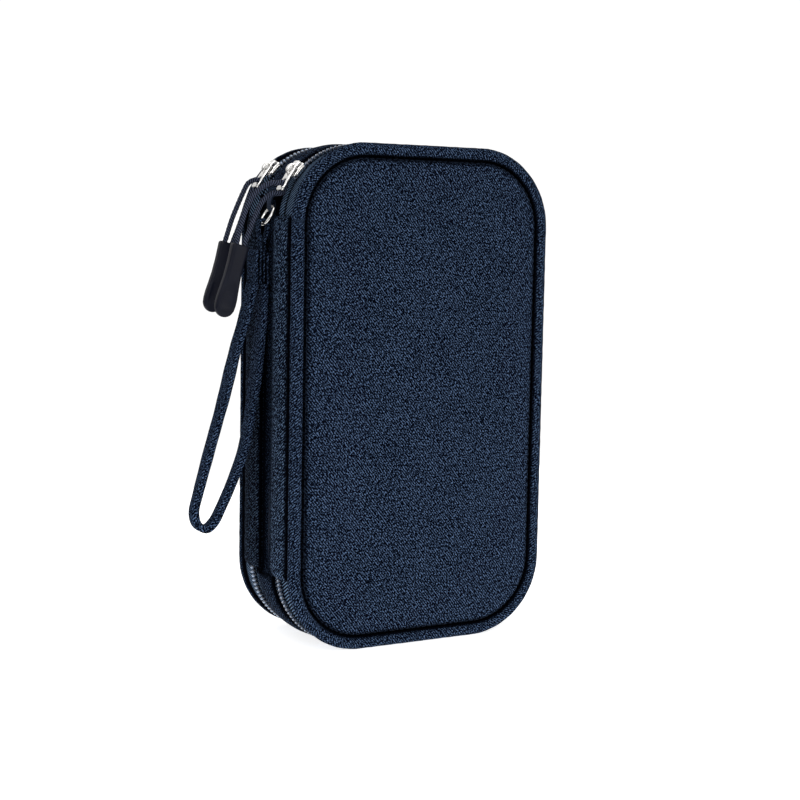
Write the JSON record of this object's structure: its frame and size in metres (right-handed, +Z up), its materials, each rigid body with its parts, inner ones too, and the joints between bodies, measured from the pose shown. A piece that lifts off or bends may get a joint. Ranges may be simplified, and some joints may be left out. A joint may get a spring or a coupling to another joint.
{
  "type": "cable organizer pouch",
  "caption": "Two-compartment zip pouch for cables: padded piped covers, fabric spine, chrome sliders with cord pulls and a wrist strap.",
  "frame": {"origin": "centre of the resting face under the middle band", "axes": "+Z up with the pouch standing, front cover faces -Y, zippered side faces +X, spine with the strap faces -X"},
  "size_m": [0.1396, 0.05, 0.19],
  "materials": {
    "navy_fabric": "heather twill",
    "zip_tape": "herringbone tape",
    "coil_plastic": "nylon coil",
    "lining_fabric": "plain lining",
    "foam": "foam",
    "board": "sheet",
    "elastic": "ribbed elastic",
    "mesh": "net",
    "chrome": "polished",
    "cord": "braided cord",
    "grip_rubber": "soft matte"
  },
  "bodies": {
    "case": {"mid_gusset": "navy_fabric", "gusset_lining": "lining_fabric", "front_spine_panel": "navy_fabric", "rear_spine_panel": "navy_fabric", "spine_valley": "navy_fabric", "front_zip_tape_inner": "zip_tape", "front_zip_coil_inner": "coil_plastic", "rear_zip_tape_inner": "zip_tape", "rear_zip_coil_inner": "coil_plastic", "divider_board": "board", "divider_front_lining": "lining_fabric", "divider_rear_lining": "lining_fabric", "elastic_band_upper": "elastic", "elastic_band_middle": "elastic", "elastic_band_lower": "elastic", "card_pocket": "lining_fabric", "divider_mesh": "mesh", "divider_mesh_binding": "elastic", "anchor_tab": "elastic"},
    "front_cover": {"front_panel_fabric": "navy_fabric", "front_panel_foam": "foam", "front_panel_lining": "lining_fabric", "front_piping": "navy_fabric", "front_zip_tape_outer": "zip_tape", "front_zip_coil_outer": "coil_plastic", "front_mesh_pocket": "mesh", "front_mesh_binding": "elastic"},
    "rear_cover": {"rear_panel_fabric": "navy_fabric", "rear_panel_foam": "foam", "rear_panel_lining": "lining_fabric", "rear_piping": "navy_fabric", "rear_zip_tape_outer": "zip_tape", "rear_zip_coil_outer": "coil_plastic", "rear_pocket_binding": "elastic", "rear_pocket_mesh": "mesh", "rear_pocket_tape": "zip_tape", "rear_pocket_coil": "coil_plastic"},
    "pocket_slider": {"pocket_slider": "chrome"},
    "pocket_pull_tab": {"pocket_pull_tab": "chrome"},
    "front_slider": {"front_slider": "chrome"},
    "front_pull_tab": {"front_pull_tab": "chrome"},
    "front_puller": {"front_pull_cord": "cord", "front_pull_grip": "grip_rubber"},
    "rear_slider": {"rear_slider": "chrome"},
    "rear_pull_tab": {"rear_pull_tab": "chrome"},
    "rear_puller": {"rear_pull_cord": "cord", "rear_pull_grip": "grip_rubber"},
    "strap_ring": {"strap_ring": "chrome"},
    "wrist_strap": {"strap_link": "navy_fabric", "strap_bundle": "navy_fabric", "wrist_strap": "navy_fabric"}
  },
  "joints": [
    {"name": "front_cover_open", "type": "hinge", "parent": "case", "child": "front_cover", "pos_m": [-0.055, -0.02, 0.095], "axis": [0, 0, -1], "range_deg": [0, 180]},
    {"name": "rear_cover_open", "type": "hinge", "parent": "case", "child": "rear_cover", "pos_m": [-0.055, 0.02, 0.095], "axis": [0, 0, 1], "range_deg": [0, 180]},
    {"name": "front_slider_travel", "type": "hinge", "parent": "case", "child": "front_slider", "pos_m": [-0.025, -0.012, 0.16], "axis": [0, 1, 0], "range_deg": [0, 52]},
    {"name": "rear_slider_travel", "type": "hinge", "parent": "case", "child": "rear_slider", "pos_m": [-0.025, 0.012, 0.16], "axis": [0, 1, 0], "range_deg": [0, 49]},
    {"name": "front_tab_flip", "type": "hinge", "parent": "front_slider", "child": "front_pull_tab", "pos_m": [-0.05022, -0.012, 0.1797], "axis": [0, 1, 0], "range_deg": [0, 120]},
    {"name": "rear_tab_flip", "type": "hinge", "parent": "rear_slider", "child": "rear_pull_tab", "pos_m": [-0.04915, 0.012, 0.18099], "axis": [0, 1, 0], "range_deg": [0, 120]},
    {"name": "front_puller_swing", "type": "hinge", "parent": "front_pull_tab", "child": "front_puller", "pos_m": [-0.05457, -0.012, 0.17286], "axis": [0, 1, 0], "range_deg": [-5, 20]},
    {"name": "rear_puller_swing", "type": "hinge", "parent": "rear_pull_tab", "child": "rear_puller", "pos_m": [-0.05386, 0.012, 0.17439], "axis": [0, 1, 0], "range_deg": [-5, 20]},
    {"name": "ring_swing", "type": "hinge", "parent": "case", "child": "strap_ring", "pos_m": [-0.0529, -0.0012, 0.1661], "axis": [0, 1, 0], "range_deg": [-3, 55]},
    {"name": "strap_swing", "type": "hinge", "parent": "strap_ring", "child": "wrist_strap", "pos_m": [-0.05692, -0.0012, 0.15941], "axis": [0, 1, 0], "range_deg": [-2, 35]},
    {"name": "pocket_slider_travel", "type": "slide", "parent": "rear_cover", "child": "pocket_slider", "axis": [1, 0, 0], "range_m": [0, 0.062]},
    {"name": "pocket_tab_flip", "type": "hinge", "parent": "pocket_slider", "child": "pocket_pull_tab", "pos_m": [-0.0325, 0.0166, 0.132], "axis": [0, 0, -1], "range_deg": [0, 150]}
  ]
}
